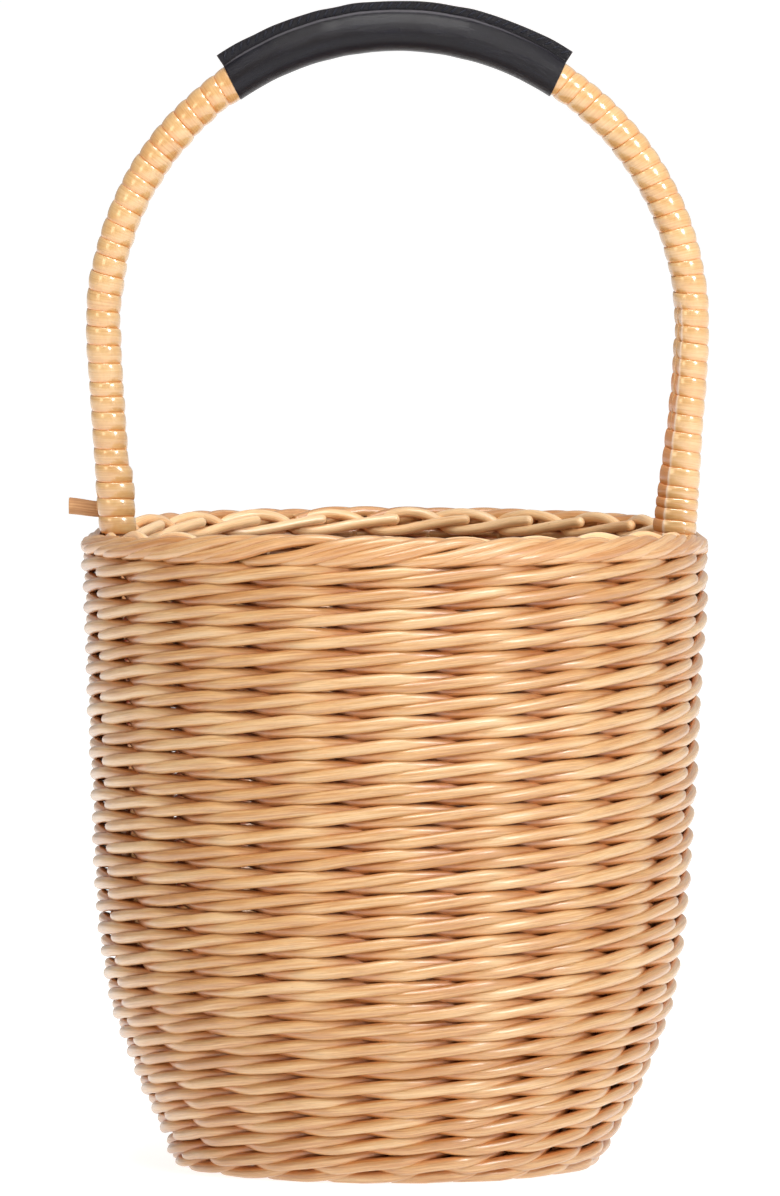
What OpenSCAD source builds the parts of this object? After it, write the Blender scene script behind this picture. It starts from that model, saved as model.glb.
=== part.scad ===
// Round wicker bucket bag: a slath base, paired side stakes, thirty rows of
// three-rod waling, a plaited border and one fixed bow handle, lapped with peel
// and finished with a stitched leather sleeve at the crown.
// +Z is up, the origin is the centre of the base at floor level, the handle's
// plane is XZ.  Millimetres.

/* [Body] */
// Mid-wall radius where the side starts, just above the floor
foot_r = 69.5; // [66:0.5:72]
// Mid-wall radius at the height where the lower curve ends
belly_r = 97.4; // [92:0.5:104]
// Mid-wall radius under the border
rim_r = 108.6; // [104:0.5:116]
// Thickness of the woven wall, across the crests of the rods
wall_t = 12.2; // [11.5:0.1:13]

/* [Weave] */
// Stake pairs in the front half, between the handle's legs
front_pairs = 9; // [9:1:9]
// Stake pairs in the back half, set a little closer
back_pairs = 13; // [13:1:13]
// Angle of the first stake pair from the front, degrees
stake_phase = 1.5; // [1:0.5:2]
// Diameter of one side stake
stake_d = 4.0; // [3:0.1:4.4]
// Top of the first row, the one that the bag rests on
foot_row_h = 2.9; // [2.4:0.1:3.4]
// Height of each row in the lower, curved part
row_low = 7.2; // [6.6:0.1:7.6]
// Height of each row in the middle
row_mid = 8.1; // [7.6:0.1:8.4]
// Height of each row below the border
row_top = 7.65; // [7.2:0.05:8]
// Air left between two rows
row_gap = 0.12; // [0.05:0.01:0.3]

/* [Border] */
// Height of the plaited border
border_h = 10.8; // [9:0.1:13]
// Thickness of the border across both of its strands
border_t = 13.6; // [12:0.1:15]

/* [Handle] */
// Radius of the bow's crown, to the middle of the core
bow_r = 109; // [100:1:120]
// Height of the centre of the bow's crown above the floor
bow_z = 310.5; // [290:0.5:330]
// Sideways offset of the bow from the bag's axis
bow_x = 1.3; // [0:0.1:3]
// Distance of each leg from the bow's middle where it enters the border
leg_x = 104; // [102:0.5:106]
// Diameter of the cane core
core_d = 8.6; // [8:0.1:9.4]
// Thickness of the flat cane liner inside the bow
liner_t = 1.2; // [0.8:0.1:1.5]
// Width of the flat cane liner
liner_w = 5.4; // [4:0.1:6]
// Outside diameter over the peel lapping
lapping_d = 13; // [12.6:0.1:14]
// Depth to which the shaved tails of the core are pushed into the weave
tail_depth = 62; // [40:1:80]
// Diameter of the shaved tails
tail_d = 6.6; // [6:0.1:7]

/* [Sleeve] */
// Half of the angle that the leather sleeve covers at the crown
sleeve_half = 33; // [20:1:45]
// Outside diameter of the sleeve
sleeve_d = 13.9; // [13.4:0.1:15]
// Thickness of the leather
leather_t = 1.15; // [0.9:0.05:1.4]
// Height of the stitched seam that stands along the top
seam_h = 4.7; // [3.5:0.1:6]
// Lean of the seam towards the front, degrees
seam_lean = 14; // [0:1:25]
// Distance between two stitches of the seam
stitch_pitch = 3.4; // [2.8:0.1:5]

/* [Peg] */
// Diameter of the locking peg beside the left leg
peg_d = 6.4; // [5:0.1:7]
// Length of the locking peg
peg_len = 21; // [20:1:24]

/* [Hidden] */
$fn = 64;
row_count = 30;
low_rows = 9;
mid_rows = 14;
willow = [0.87, 0.67, 0.43];
willow_dark = [0.74, 0.52, 0.31];
peel = [0.86, 0.62, 0.35];
wood = [0.62, 0.40, 0.22];
navy = [0.09, 0.10, 0.14];
thread = [0.05, 0.06, 0.10];

// height of the top of row i, 1 being the row on the floor
function row_z(i) =
    i <= 0 ? 0 :
    i <= 1 + low_rows ? foot_row_h + 0.9 + (i - 1) * row_low - (i == 1 ? 0.9 : 0) :
    i <= 1 + low_rows + mid_rows ? row_z(1 + low_rows) + (i - 1 - low_rows) * row_mid :
    row_z(1 + low_rows + mid_rows) + (i - 1 - low_rows - mid_rows) * row_top;

border_z = row_z(row_count);
top_z = border_z + border_h;

// mid-wall radius at height z: a steep foot, a rounded belly, a straight side
stations = [[0, foot_r], [6, foot_r + 4.6], [14, foot_r + 9.5],
            [26, foot_r + 14.9], [42, foot_r + 21.2], [60, belly_r],
            [80, belly_r + 3.6], [104, belly_r + 5.8], [150, belly_r + 8.2],
            [200, rim_r - 0.7], [228, rim_r], [260, rim_r]];
function wall_r(z, i = 0) =
    i >= len(stations) - 2 || z < stations[i + 1][0]
        ? let(a = stations[i], b = stations[i + 1])
          a[1] + (b[1] - a[1]) * (z - a[0]) / (b[0] - a[0])
        : wall_r(z, i + 1);

base_r = 66.6;      // outer radius of the flat base
base_z = 5.2;       // height of the base sticks' axes
base_t = 7.4;       // thickness of the base weave
stick_d = 4.6;
stake_pairs = front_pairs + back_pairs;
front_step = 180 / (front_pairs + 1);
front_first = stake_phase - 4 * front_step;   // leftmost pair of the front half
back_step = 168 / (back_pairs - 1);
// angle of stake pair k, counted from the left leg through the front
function stake_angle(k) =
    k < front_pairs ? front_first + k * front_step
                    : back_first + (k - front_pairs) * back_step;
// the ten ends of the base sticks lie midway between two stake pairs
spoke_axis = stake_phase - front_step / 2;
back_first = spoke_axis + 180 - 5.5 * back_step;   // pair behind the right leg
spread_front = 2 * front_step;      // outer slit sticks, from their axis
spread_back = 2 * back_step;
through_front = front_step;         // through sticks, from their own axis
through_back = 90 - 5 * back_step;

// middle of the bow's core at the leg's two ends, and at its tail
leg_top = [bow_r, bow_z];
leg_foot = [leg_x, top_z + 1.2];
leg_tilt = atan((leg_top[0] - leg_foot[0]) / (leg_top[1] - leg_foot[1]));
tail_mid = [leg_x + 0.6, top_z - 12];
tail_end = [wall_r(border_z - tail_depth) - 0.6, border_z - tail_depth];

// round bar from point a to point b, lengthened a little at both ends
module bar(a, b, d, over = 0.35) {
    v = b - a;
    l = norm(v);
    translate(a)
        rotate([0, acos(v[2] / l), atan2(v[1], v[0])])
            translate([0, 0, -over])
                cylinder(d = d, h = l + 2 * over);
}

// turns children to the direction at angle a from the front, seen from above
module at_angle(a) {
    rotate([0, 0, a - 90]) children();
}

// one base stick: straight through the middle, then out along a spoke at
// each end; e0 and e1 are the angles that its two ends turn outwards by
module base_stick(side, half, e0, e1, flat) {
    reach = base_r - 1.4;
    sgn = side == 0 ? 0 : sign(side);
    bar([half, side, base_z],
        [reach * cos(e0), reach * sin(e0) * sgn, base_z], stick_d);
    bar([-half, side, base_z],
        [-reach * cos(e1), reach * sin(e1) * sgn, base_z], stick_d);
    if (flat)
        translate([-half - 0.6, side - 2.2, base_z - 1.3])
            cube([2 * half + 1.2, 4.4, 2.6]);
    else
        difference() {
            bar([-half, side, base_z], [half, side, base_z], 5.4);
            translate([-6.2, side - 4, base_z - 1.45]) cube([12.4, 8, 2.9]);
        }
}

module base_sticks_slit() {
    color(willow_dark)
        rotate([0, 0, -90 + spoke_axis])
            for (s = [-5.8, 0, 5.8])
                base_stick(s, 10, s == 0 ? 0 : spread_front,
                           s == 0 ? 0 : spread_back, false);
}

module base_sticks_through() {
    color(willow_dark)
        rotate([0, 0, spoke_axis]) {
            base_stick(-3, 12.4, through_front, through_front, true);
            base_stick(3, 12.4, through_back, through_back, true);
        }
}

// tunnels through the base weave for the sticks and for the stakes' feet
module base_tunnels() {
    for (e = [0, spread_front, -spread_front, 90 - through_front,
              through_front - 90, 90 + through_back, -90 - through_back,
              180, 180 - spread_back, 180 + spread_back])
        at_angle(spoke_axis + e)
            translate([17, -stick_d / 2 - 0.15, base_z - stick_d / 2 - 0.15])
                cube([base_r - 13, stick_d + 0.3, stick_d + 0.3]);
    for (k = [0 : stake_pairs - 1])
        at_angle(stake_angle(k))
            translate([57.5, -stake_d - 0.3, base_z - stake_d / 2 - 0.2])
                cube([30, 2 * stake_d + 0.6, stake_d + 0.4]);
}

// rectangle about the origin with its corners cut off
module chamfered(w, h, c) {
    polygon([[-w / 2 + c, -h / 2], [w / 2 - c, -h / 2], [w / 2, -h / 2 + c],
             [w / 2, h / 2 - c], [w / 2 - c, h / 2], [-w / 2 + c, h / 2],
             [-w / 2, h / 2 - c], [-w / 2, -h / 2 + c]]);
}

// rings of paired base weavers between two radii
module pairing(r0, r1, n) {
    w = (r1 - r0) / n;
    for (i = [0 : n - 1])
        difference() {
            rotate_extrude()
                translate([r0 + (i + 0.5) * w, base_z])
                    chamfered(w - 0.15, base_t, 0.9);
            base_tunnels();
        }
}

module base_pairing_inner() { color(willow) pairing(19, 42.8, 4); }
module base_pairing_outer() { color(willow) pairing(43, base_r, 4); }

// path of one stake in its own vertical plane: radius, height
stake_path = concat([[58, base_z], [67.6, base_z], [73.2, base_z + 3.4]],
                    [for (z = [14, 26, 42, 60, 80, 104, 150])
                        [wall_r(z), z]],
                    [[wall_r(border_z), border_z],
                     [wall_r(border_z), border_z + 5.6]]);

module stake() {
    for (i = [0 : len(stake_path) - 2]) {
        bar([stake_path[i][0], 0, stake_path[i][1]],
            [stake_path[i + 1][0], 0, stake_path[i + 1][1]], stake_d, 0);
        if (i > 0)
            translate([stake_path[i][0], 0, stake_path[i][1]])
                sphere(d = stake_d + 0.08);
    }
}

module side_stakes() {
    color(willow_dark)
        for (k = [0 : stake_pairs - 1])
            at_angle(stake_angle(k))
                for (s = [-1, 1])
                    translate([0, s * (stake_d / 2 + 0.1), 0]) stake();
}

// radial span of the stakes between two heights
function span(z0, z1) =
    let(in = z0 < base_z + 2 ? 66.8 : wall_r(z0) - stake_d / 2 - 0.35,
        out = max(wall_r(z1), z1 < 11.5 ? 75.2 : 0) + stake_d / 2 + 0.35)
    [in, out];

// one row of waling: a ring with a slot for each pair of stakes, and in the
// upper rows one more for each tail of the handle
module wale_row(i) {
    z0 = row_z(i - 1);
    z1 = row_z(i) - row_gap;
    h = z1 - z0;
    r = wall_r((z0 + z1) / 2);
    half = wall_t / 2;
    c = min(h / 2, 2.3);
    s = span(z0, z1);
    color(i % 2 == 0 ? willow : [0.84, 0.63, 0.39])
        difference() {
            rotate_extrude()
                translate([r, z0])
                    union() {
                        translate([-half + c, 0]) square([wall_t - 2 * c, h]);
                        if (h > 2 * c)
                            translate([-half, c]) square([wall_t, h - 2 * c]);
                        for (x = [-half + c, half - c], y = [c, h - c])
                            translate([x, y]) circle(r = c);
                    }
            if (i > 1)
                for (k = [0 : stake_pairs - 1])
                    at_angle(stake_angle(k))
                        translate([s[0], -stake_d - 0.4, z0 - 1])
                            cube([s[1] - s[0], 2 * stake_d + 0.8, h + 2]);
            if (z1 > border_z - tail_depth - 1) tail_slots(z0, z1);
        }
}

// distance of the tail's axis from the bow's middle at height z
function tail_x(z) =
    z > tail_mid[1]
        ? tail_mid[0] + (leg_foot[0] - tail_mid[0])
          * (z - tail_mid[1]) / (leg_foot[1] - tail_mid[1])
        : tail_end[0] + (tail_mid[0] - tail_end[0])
          * (z - tail_end[1]) / (tail_mid[1] - tail_end[1]);

// the shaved tails of the core, pushed down beside the stakes
module tails() {
    translate([bow_x, 0, 0])
        for (m = [0, 1]) mirror([m, 0, 0]) {
            bar([leg_foot[0], 0, leg_foot[1]], [tail_mid[0], 0, tail_mid[1]],
                core_d, 0);
            translate([tail_mid[0], 0, tail_mid[1]]) sphere(d = core_d + 0.08);
            bar([tail_mid[0], 0, tail_mid[1]], [tail_end[0], 0, tail_end[1]],
                tail_d, 0);
        }
}

// slots for the tails between two heights
module tail_slots(z0, z1) {
    d = z1 > tail_mid[1] - core_d / 2 ? core_d : tail_d;
    xs = [tail_x(z0), tail_x(z1)];
    translate([bow_x, 0, 0])
        for (m = [0, 1]) mirror([m, 0, 0])
            translate([min(xs) - d / 2 - 0.4, -d / 2 - 0.4, z0 - 1])
                cube([max(xs) - min(xs) + d + 0.8, d + 0.8, z1 - z0 + 2]);
}

// one ring of the border between two radii and two heights, rounded
module border_ring(r0, r1, z0, z1, shade) {
    c = min(r1 - r0, z1 - z0) / 2;
    color(shade)
        difference() {
            rotate_extrude()
                translate([(r0 + r1) / 2, (z0 + z1) / 2])
                    intersection() {
                        square([r1 - r0, z1 - z0], center = true);
                        circle(r = norm([r1 - r0, z1 - z0]) / 2 * 0.9);
                    }
            tail_slots(z0, z1);
            for (m = [0, 1])
                translate([bow_x, 0, 0]) mirror([m, 0, 0])
                    translate([leg_x, 0, top_z - 3.2])
                        cylinder(d = lapping_d + 1.2, h = 20);
        }
}

module border_outer_strand() {
    border_ring(rim_r + stake_d / 2 + 0.3, rim_r + border_t / 2,
                border_z + 0.1, top_z - 2.6, willow);
}

module border_inner_plait() {
    border_ring(rim_r - border_t / 2, rim_r - stake_d / 2 - 0.3,
                border_z + 0.1, top_z - 2.6, [0.84, 0.63, 0.39]);
}

module border_top_strand() {
    border_ring(rim_r - border_t / 2 + 1, rim_r + border_t / 2 - 1,
                top_z - 2.5, top_z, willow);
}

// turns a section, drawn at the origin, along the bow's crown from angle a0 to
// angle a1, measured from the top towards +X
module crown(a0, a1) {
    translate([bow_x, 0, bow_z])
        rotate([90, 0, 0])
            rotate([0, 0, 90 - a1])
                rotate_extrude(angle = a1 - a0)
                    translate([bow_r, 0]) children();
}

// a straight round leg on one side, from the crown's end down to the border,
// with a ball where it turns
module leg_bar(side, d) {
    translate([bow_x, 0, 0]) mirror([side < 0 ? 1 : 0, 0, 0]) {
        bar([leg_top[0], 0, leg_top[1]], [leg_foot[0], 0, leg_foot[1]], d, 0);
        translate([leg_top[0], 0, leg_top[1]]) sphere(d = d + 0.08);
    }
}

// the liner's straight run along the inside of one leg
module leg_liner(side, air = 0) {
    l = norm(leg_top - leg_foot);
    translate([bow_x, 0, 0]) mirror([side < 0 ? 1 : 0, 0, 0])
        translate([leg_top[0], 0, leg_top[1]])
            rotate([0, leg_tilt, 0])
                translate([-core_d / 2 - liner_t - 0.05 - air,
                           -liner_w / 2 - air + 0.02, -l])
                    cube([liner_t + 2 * air, liner_w + 2 * air - 0.04,
                          l + 0.2]);
}

module core_section() { circle(d = core_d); }
module liner_section(air = 0) {
    translate([-core_d / 2 - liner_t / 2 - 0.05, 0])
        square([liner_t + 2 * air, liner_w + 2 * air], center = true);
}

module handle_core() {
    color(wood)
        union() {
            crown(-90, 90) core_section();
            for (s = [-1, 1]) {
                leg_bar(s, core_d);
                translate([bow_x + s * leg_foot[0], 0, leg_foot[1]])
                    sphere(d = core_d + 0.08);
            }
            tails();
        }
}

module handle_liner() {
    color(willow)
        union() {
            crown(-90, 90) liner_section();
            for (s = [-1, 1]) leg_liner(s);
        }
}

// room for the core and the liner inside the lapping
module lapping_bore(side) {
    crown(side < 0 ? -90 : sleeve_half - 4, side < 0 ? 4 - sleeve_half : 90)
        circle(d = core_d + 0.25);
    leg_bar(side, core_d + 0.25);
    translate([bow_x, 0, 0]) mirror([side < 0 ? 1 : 0, 0, 0])
        bar([(leg_foot[0] + leg_top[0]) / 2, 0, (leg_foot[1] + leg_top[1]) / 2],
            [leg_foot[0], 0, leg_foot[1]], core_d + 0.31, 2);
    crown(side < 0 ? -90 : sleeve_half - 4, side < 0 ? 4 - sleeve_half : 90)
        liner_section(0.1);
    translate([0, 0, -2]) leg_liner(side, 0.12);
    leg_liner(side, 0.12);
}

module lapping(side) {
    a = sleeve_half + 0.6;
    color(peel)
        difference() {
            union() {
                crown(side < 0 ? -90 : a, side < 0 ? -a : 90)
                    circle(d = lapping_d);
                leg_bar(side, lapping_d);
            }
            lapping_bore(side);
        }
}

module handle_lapping_left() { lapping(-1); }
module handle_lapping_right() {
    translate([2 * bow_x, 0, 0]) mirror([1, 0, 0]) lapping(-1);
}

// the lapping's run under the sleeve, a little thinner
module handle_lapping_crown() {
    a = sleeve_half + 0.4;
    color(willow_dark)
        crown(-a, a)
            difference() {
                circle(d = sleeve_d - 2 * leather_t - 0.2);
                circle(d = core_d + 0.2);
                liner_section(0.1);
            }
}

// the leather: a tube with both edges turned up and sewn face to face
module grip_sleeve() {
    color(navy)
        crown(-sleeve_half, sleeve_half)
            difference() {
                union() {
                    circle(d = sleeve_d);
                    rotate(-seam_lean)
                        translate([0, -leather_t - 0.1])
                            square([sleeve_d / 2 + seam_h, 2 * leather_t + 0.2]);
                }
                circle(d = sleeve_d - 2 * leather_t);
            }
}

// slanted stitches on both faces of the seam
module grip_stitches() {
    r = bow_r + (sleeve_d / 2 + seam_h * 0.55) * cos(seam_lean);
    y = -(sleeve_d / 2 + seam_h * 0.55) * sin(seam_lean);
    n = floor(2 * sleeve_half * PI / 180 * r / stitch_pitch) - 1;
    color(thread)
        for (k = [0 : n]) {
            a = (k - n / 2) * stitch_pitch / r * 180 / PI;
            for (f = [-1, 1])
                translate([bow_x, 0, bow_z]) rotate([0, a, 0])
                    translate([0, y, r])
                        rotate([seam_lean, 0, 0])
                            translate([0, f * (leather_t + 0.1 + 0.36), 0])
                                rotate([0, 35, 0])
                                    cylinder(d = 0.7, h = 2.5, center = true,
                                             $fn = 16);
        }
}

// the cut rod that locks the handle, lying on the border behind the left leg
module handle_peg() {
    color(wood)
        translate([bow_x - leg_x - 17.6, lapping_d / 2 + peg_d / 2 + 0.4,
                   top_z + peg_d / 2 + 1.9])
            rotate([0, 90 + 5, 0]) cylinder(d = peg_d, h = peg_len);
}

base_sticks_slit();
base_sticks_through();
base_pairing_inner();
base_pairing_outer();
side_stakes();
wale_row(1);  // wale_row_01
wale_row(2);  // wale_row_02
wale_row(3);  // wale_row_03
wale_row(4);  // wale_row_04
wale_row(5);  // wale_row_05
wale_row(6);  // wale_row_06
wale_row(7);  // wale_row_07
wale_row(8);  // wale_row_08
wale_row(9);  // wale_row_09
wale_row(10);  // wale_row_10
wale_row(11);  // wale_row_11
wale_row(12);  // wale_row_12
wale_row(13);  // wale_row_13
wale_row(14);  // wale_row_14
wale_row(15);  // wale_row_15
wale_row(16);  // wale_row_16
wale_row(17);  // wale_row_17
wale_row(18);  // wale_row_18
wale_row(19);  // wale_row_19
wale_row(20);  // wale_row_20
wale_row(21);  // wale_row_21
wale_row(22);  // wale_row_22
wale_row(23);  // wale_row_23
wale_row(24);  // wale_row_24
wale_row(25);  // wale_row_25
wale_row(26);  // wale_row_26
wale_row(27);  // wale_row_27
wale_row(28);  // wale_row_28
wale_row(29);  // wale_row_29
wale_row(30);  // wale_row_30
border_outer_strand();
border_inner_plait();
border_top_strand();
handle_core();
handle_liner();
handle_lapping_left();
handle_lapping_right();
handle_lapping_crown();
handle_peg();
grip_sleeve();
grip_stitches();
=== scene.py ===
import math

import bpy
import numpy as np
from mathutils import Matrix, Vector


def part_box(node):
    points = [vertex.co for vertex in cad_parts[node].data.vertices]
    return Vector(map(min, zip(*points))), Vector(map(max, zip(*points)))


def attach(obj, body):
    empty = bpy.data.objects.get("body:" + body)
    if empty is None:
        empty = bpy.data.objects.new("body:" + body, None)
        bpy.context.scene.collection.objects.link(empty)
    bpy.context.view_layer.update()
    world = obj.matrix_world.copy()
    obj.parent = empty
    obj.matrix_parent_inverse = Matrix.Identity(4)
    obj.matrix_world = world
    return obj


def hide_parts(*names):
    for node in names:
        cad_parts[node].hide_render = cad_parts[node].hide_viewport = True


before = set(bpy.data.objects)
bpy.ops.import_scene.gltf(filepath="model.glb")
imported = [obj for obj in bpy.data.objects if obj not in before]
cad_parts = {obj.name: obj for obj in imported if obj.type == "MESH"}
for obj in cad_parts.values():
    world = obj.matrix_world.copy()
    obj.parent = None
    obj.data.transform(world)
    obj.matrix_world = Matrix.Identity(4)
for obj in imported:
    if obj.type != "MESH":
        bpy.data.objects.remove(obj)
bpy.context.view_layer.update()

MM = 0.001
rng = np.random.RandomState(2024)


def box(node):
    lo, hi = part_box(node)
    return np.array(lo) / MM, np.array(hi) / MM


# ---------------------------------------------------------------- helpers
def unit(v):
    return v / np.maximum(np.linalg.norm(v, axis=-1, keepdims=True), 1e-9)


def catmull(keys, u):
    """Catmull-Rom through keys (k, dims) at positions 0, 1, 2 ..."""
    keys = np.asarray(keys, float)
    if keys.ndim == 1:
        keys = keys[:, None]
    u = np.clip(np.asarray(u, float), 0, len(keys) - 1 - 1e-9)
    i = np.floor(u).astype(int)
    f = (u - i)[:, None]
    last = len(keys) - 1
    p0 = keys[np.clip(i - 1, 0, last)]
    p1 = keys[i]
    p2 = keys[np.clip(i + 1, 0, last)]
    p3 = keys[np.clip(i + 2, 0, last)]
    m1, m2 = (p2 - p0) / 2, (p3 - p1) / 2
    return ((2 * f ** 3 - 3 * f ** 2 + 1) * p1 + (f ** 3 - 2 * f ** 2 + f) * m1
            + (-2 * f ** 3 + 3 * f ** 2) * p2 + (f ** 3 - f ** 2) * m2)


def spline(places, values, x):
    """Smooth curve through values at uneven places, read at x."""
    places = np.asarray(places, float)
    u = np.interp(x, places, np.arange(len(places)))
    # the index runs smoothly through uneven places
    k = np.linspace(0, len(places) - 1, (len(places) - 1) * 24 + 1)
    fine = catmull(np.column_stack([places, values]), k)
    order = np.maximum.accumulate(fine[:, 0]) + np.arange(len(fine)) * 1e-9
    if fine.shape[1] == 2:
        return np.interp(x, order, fine[:, 1])
    return np.column_stack([np.interp(x, order, fine[:, c])
                            for c in range(1, fine.shape[1])])


def wander(n, size, step=1.0):
    """Smooth random numbers, one for each of n samples, a key every step."""
    keys = rng.normal(0, 1, int(n / step) + 4)
    return catmull(keys, np.arange(n) / step + 0.5)[:, 0] * size


def around(r, phi, z):
    """Point at radius r, angle phi (degrees, 0 at the front, growing to the
    right) and height z."""
    a = np.radians(phi)
    return np.column_stack([r * np.sin(a), -r * np.cos(a), z])


class Build:
    """One piece's mesh as it grows, in millimetres."""

    def __init__(self):
        self.co, self.grain, self.tone, self.deep, self.cut = [], [], [], [], []
        self.quads, self.tris, self.n = [], [], 0

    def points(self, co, grain, tone, deep=0.0, cut=0.0):
        first = self.n
        k = len(co)
        self.co.append(co)
        self.grain.append(grain)
        for name, value in (("tone", tone), ("deep", deep), ("cut", cut)):
            getattr(self, name).append(np.broadcast_to(
                np.asarray(value, float), (k,)).copy())
        self.n += k
        return first

    def grid(self, first, rows, cols, wrap=True, flip=False):
        i = np.arange(rows - 1)[:, None]
        j = np.arange(cols if wrap else cols - 1)[None, :]
        a = first + i * cols + j
        b = first + i * cols + (j + 1) % cols
        q = np.stack([a, b, b + cols, a + cols], -1).reshape(-1, 4)
        self.quads.append(q[:, ::-1] if flip else q)

    def rod(self, path, ref, rad, sides=10, squash=1.0, tone=0.0, deep=0.0,
            ends=("cut", "cut"), lean=(0.0, 0.0), shape=None, press=0.0):
        """A rod along path. ref is the direction that the first point of
        each ring faces, shape(theta) an optional change of its section."""
        path = np.asarray(path, float)
        n = len(path)
        T = unit(np.gradient(path, axis=0))
        ref = np.broadcast_to(np.asarray(ref, float), path.shape)
        N = unit(ref - (ref * T).sum(1)[:, None] * T)
        B = np.cross(T, N)
        rad = np.broadcast_to(np.asarray(rad, float), (n,))
        squash = np.broadcast_to(np.asarray(squash, float), (n,))
        tone = np.broadcast_to(np.asarray(tone, float), (n,))
        deep = np.broadcast_to(np.asarray(deep, float), (n,))
        th = np.arange(sides) * 2 * math.pi / sides
        k = np.ones((n, sides)) if shape is None else shape(th, n)
        step = np.linalg.norm(np.diff(path, axis=0), axis=1)
        s = np.concatenate([[0], np.cumsum(step)])
        off = rng.uniform(-500, 500, 3)
        spin = rng.uniform(0, 2 * math.pi)
        c, sn = np.cos(th), np.sin(th)
        co = (path[:, None, :]
              + (rad[:, None] * k * c)[:, :, None] * N[:, None, :]
              + (rad[:, None] * squash[:, None] * k * sn)[:, :, None]
              * B[:, None, :])
        gr = np.empty((n, sides, 3))
        gr[:, :, 0] = s[:, None] + off[0]
        gr[:, :, 1] = rad[:, None] * np.cos(th + spin)[None, :] + off[1]
        gr[:, :, 2] = rad[:, None] * np.sin(th + spin)[None, :] + off[2]
        # painted shade: darker towards its sides, fading out where it faces the
        # other way
        pressed = np.clip(0.42 - c, 0, 1) * press
        painted_shade_facing = np.clip((c + 0.85) / 0.5, 0.06, 1)
        first = self.points(co.reshape(-1, 3), gr.reshape(-1, 3),
                            np.repeat(tone, sides),
                            ((deep[:, None] + pressed[None, :])
                             * painted_shade_facing[None, :]).reshape(-1))
        self.grid(first, n, sides)
        for e, kind in enumerate(ends):
            if kind is None:
                continue
            i = 0 if e == 0 else n - 1
            sign = -1 if e == 0 else 1
            r = rad[i]
            base = first + i * sides
            rings = ([(0.93, 0.05), (0.5, 0.06)] if kind == "cut" else
                     [(0.94, 0.3), (0.76, 0.6), (0.45, 0.82)])
            tip = 0.06 if kind == "cut" else 0.9
            ring_co = co[i] - path[i]
            prev = base
            for q, (scale, out) in enumerate(rings):
                shift = T[i] * sign * out * r
                tilt = (ring_co @ N[i])[:, None] * lean[e] * T[i] * sign
                pts = path[i] + ring_co * scale + shift + tilt * scale
                g = gr[i].copy()
                g[:, 0] += sign * out * r
                g[:, 1:] = off[1:] + (g[:, 1:] - off[1:]) * scale
                ring = self.points(pts, g, tone[i], deep[i],
                                   1.0 if kind == "cut" and q > 0 else
                                   (0.7 if kind == "cut" else 0.0))
                a = np.arange(sides)
                b = (a + 1) % sides
                quad = np.stack([prev + a, prev + b, ring + b, ring + a], -1)
                self.quads.append(quad if sign > 0 else quad[:, ::-1])
                prev = ring
            centre = self.points(
                (path[i] + T[i] * sign * tip * r)[None, :],
                np.array([[s[i] + off[0], off[1], off[2]]]), tone[i],
                deep[i], 1.0 if kind == "cut" else 0.0)
            tri = np.stack([prev + a, prev + b,
                            np.full(sides, centre)], -1)
            self.tris.append(tri if sign > 0 else tri[:, ::-1])

    def make(self, name, material, slot, *nodes, wall=False):
        co = np.concatenate(self.co)
        if wall:
            # the wall is not quite round: fuller on the left, and on the
            # right just under the border
            left = np.interp(co[:, 2], [0, 4, 8, 13, 21, 28, 40, 60, 90, 110,
                                        150, 200, 227, 240],
                             [7.2, 5.6, 4.0, 2.5, 1.8, 2.3, 2.2, 2.2, 2.3,
                              1.8, 1.4, 0.9, 0.8, 0.5])
            right = np.interp(co[:, 2], [0, 6, 13, 21, 30, 40, 100, 130, 150,
                                         180, 196, 207, 216, 226, 240],
                              [0.2, -0.3, -1.0, -1.1, -0.3, 0.2, 0.3, 0.7,
                               1.2, 1.1, 1.3, 2.0, 1.8, 0.9, 0.0])
            u = co[:, 0] / np.maximum(np.hypot(co[:, 0], co[:, 1]), 1)
            k = np.clip(np.hypot(co[:, 0], co[:, 1]) / 70, 0, 1) ** 2
            co = co.copy()
            co[:, 0] += k * (np.clip(u, 0, 1) ** 1.5 * right
                             - np.clip(-u, 0, 1) ** 1.5 * left)
        co = co * MM
        quads = (np.concatenate(self.quads) if self.quads
                 else np.zeros((0, 4), int))
        tris = (np.concatenate(self.tris) if self.tris
                else np.zeros((0, 3), int))
        mesh = bpy.data.meshes.new(name)
        mesh.vertices.add(len(co))
        mesh.vertices.foreach_set("co", co.astype(np.float32).ravel())
        loops = np.concatenate([quads.ravel(), tris.ravel()]).astype(np.int32)
        mesh.loops.add(len(loops))
        mesh.polygons.add(len(quads) + len(tris))
        starts = np.concatenate([
            np.arange(len(quads)) * 4,
            len(quads) * 4 + np.arange(len(tris)) * 3]).astype(np.int32)
        mesh.polygons.foreach_set("loop_start", starts)
        mesh.polygons.foreach_set("vertices", loops)
        mesh.update(calc_edges=True)
        mesh.validate()
        mesh.polygons.foreach_set(
            "use_smooth", np.ones(len(mesh.polygons), bool))
        for key, kind, field, data in (
                ("grain", "FLOAT_VECTOR", "vector",
                 np.concatenate(self.grain)),
                ("tone", "FLOAT", "value", np.concatenate(self.tone)),
                ("deep", "FLOAT", "value", np.concatenate(self.deep)),
                ("cut", "FLOAT", "value", np.concatenate(self.cut))):
            layer = mesh.attributes.new(key, kind, "POINT")
            layer.data.foreach_set(field,
                                   data.astype(np.float32).ravel())
        mesh.materials.append(material)
        obj = bpy.data.objects.new(name, mesh)
        bpy.context.scene.collection.objects.link(obj)
        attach(obj, "root")
        if nodes:
            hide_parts(*nodes)
        return obj


# -------------------------------------------------------------- materials
def srgb(r, g, b, a=1.0):
    def lin(c):
        c /= 255.0
        return c / 12.92 if c <= 0.04045 else ((c + 0.055) / 1.055) ** 2.4
    return (lin(r), lin(g), lin(b), a)


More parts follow.
